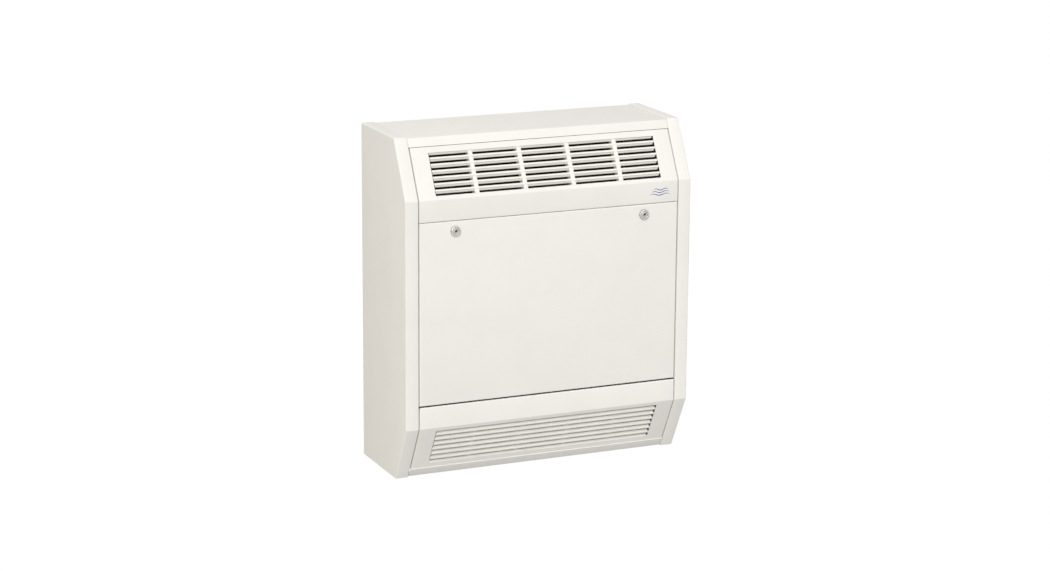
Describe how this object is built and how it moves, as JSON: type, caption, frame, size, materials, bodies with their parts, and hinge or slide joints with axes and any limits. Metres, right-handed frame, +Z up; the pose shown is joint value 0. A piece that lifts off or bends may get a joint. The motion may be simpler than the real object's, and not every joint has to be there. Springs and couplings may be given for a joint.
{
  "type": "fan convector heater",
  "caption": "Floor-standing fan convector heater: steel casing with sloped bar grilles, lockable drop-down door, filter, fans and water coil.",
  "frame": {"origin": "on the floor, in the middle of the object's box", "axes": "+Z up, the front with the door faces -Y, +X to the right of someone facing the front"},
  "size_m": [0.625, 0.249, 0.7],
  "materials": {
    "casing_coat": "satin off-white powder coat",
    "grille_coat": "satin cream powder coat",
    "galvanised": "dull galvanised sheet",
    "chrome": "satin chrome plate",
    "fins": "plain rolled fins",
    "copper": "drawn copper tube",
    "brass": "machined brass",
    "motor_paint": "semi-gloss black enamel",
    "black_plastic": "fine matte black",
    "box_plastic": "matte grey",
    "valve_red": "dipped red grip",
    "valve_blue": "dipped blue grip",
    "foam": "open-cell foam pad",
    "filter_felt": "white felt media",
    "lead_sheath": "matte black sheath"
  },
  "bodies": {
    "casing": {"left_side_panel": "casing_coat", "right_side_panel": "casing_coat", "top_panel": "casing_coat", "upper_front_panel": "casing_coat", "lower_front_panel": "casing_coat", "bottom_rail": "casing_coat", "outlet_grille": "grille_coat", "inlet_grille": "grille_coat", "back_panel": "galvanised", "left_chassis_plate": "galvanised", "right_chassis_plate": "galvanised", "door_keeper_rail": "galvanised", "fan_deck": "galvanised", "left_fan_scroll": "galvanised", "right_fan_scroll": "galvanised", "fan_motor": "motor_paint", "motor_bracket": "galvanised", "coil_fins": "fins", "coil_tubes": "copper", "left_coil_plate": "galvanised", "right_coil_plate": "galvanised", "air_vent": "brass", "flow_valve_body": "brass", "return_valve_body": "brass", "left_hinge_bracket": "galvanised", "right_hinge_bracket": "galvanised", "left_hinge_pin": "galvanised", "right_hinge_pin": "galvanised", "left_filter_rail": "galvanised", "right_filter_rail": "galvanised", "control_box": "box_plastic", "control_box_lid": "box_plastic", "terminal_block": "box_plastic", "capacitor": "black_plastic", "cable_gland": "black_plastic", "motor_lead": "lead_sheath", "pipe_thermostat": "black_plastic", "thermostat_lead": "lead_sheath", "plenum_lining": "foam"},
    "door": {"access_door": "casing_coat", "door_insulation": "foam", "left_lock_housing": "chrome", "right_lock_housing": "chrome", "left_lock_nut": "chrome", "right_lock_nut": "chrome"},
    "left_lock": {"left_lock_plug": "chrome", "left_lock_cam": "galvanised"},
    "right_lock": {"right_lock_plug": "chrome", "right_lock_cam": "galvanised"},
    "fan_rotor": {"fan_shaft": "galvanised", "left_impeller": "black_plastic", "right_impeller": "black_plastic"},
    "filter": {"filter_frame": "galvanised", "filter_media": "filter_felt"},
    "speed_knob": {"speed_knob": "black_plastic"},
    "power_rocker": {"power_rocker": "black_plastic"},
    "flow_lever": {"flow_valve_lever": "valve_red"},
    "return_lever": {"return_valve_lever": "valve_blue"}
  },
  "joints": [
    {"name": "door_hinge", "type": "hinge", "parent": "casing", "child": "door", "pos_m": [0, -0.1145, 0.1708], "axis": [1, 0, 0], "range_deg": [0, 90]},
    {"name": "left_lock_turn", "type": "hinge", "parent": "door", "child": "left_lock", "pos_m": [-0.207, -0.1205, 0.518], "axis": [0, -1, 0], "range_deg": [0, 90]},
    {"name": "right_lock_turn", "type": "hinge", "parent": "door", "child": "right_lock", "pos_m": [0.207, -0.1205, 0.518], "axis": [0, 1, 0], "range_deg": [0, 90]},
    {"name": "fan_turn", "type": "hinge", "parent": "casing", "child": "fan_rotor", "pos_m": [0, 0.02, 0.335], "axis": [1, 0, 0], "continuous": true},
    {"name": "filter_lift", "type": "slide", "parent": "casing", "child": "filter", "axis": [0, 0, 1], "range_m": [0, 0.1]},
    {"name": "speed_knob_turn", "type": "hinge", "parent": "casing", "child": "speed_knob", "pos_m": [0.235, -0.0818, 0.388], "axis": [0, 1, 0], "range_deg": [0, 120]},
    {"name": "power_rocker_press", "type": "hinge", "parent": "casing", "child": "power_rocker", "pos_m": [0.235, -0.08105, 0.335], "axis": [1, 0, 0], "range_deg": [0, 16]},
    {"name": "flow_lever_turn", "type": "hinge", "parent": "casing", "child": "flow_lever", "pos_m": [-0.23, -0.0625, 0.35], "axis": [-1, 0, 0], "range_deg": [0, 90]},
    {"name": "return_lever_turn", "type": "hinge", "parent": "casing", "child": "return_lever", "pos_m": [-0.23, 0.0875, 0.35], "axis": [-1, 0, 0], "range_deg": [0, 90]}
  ]
}
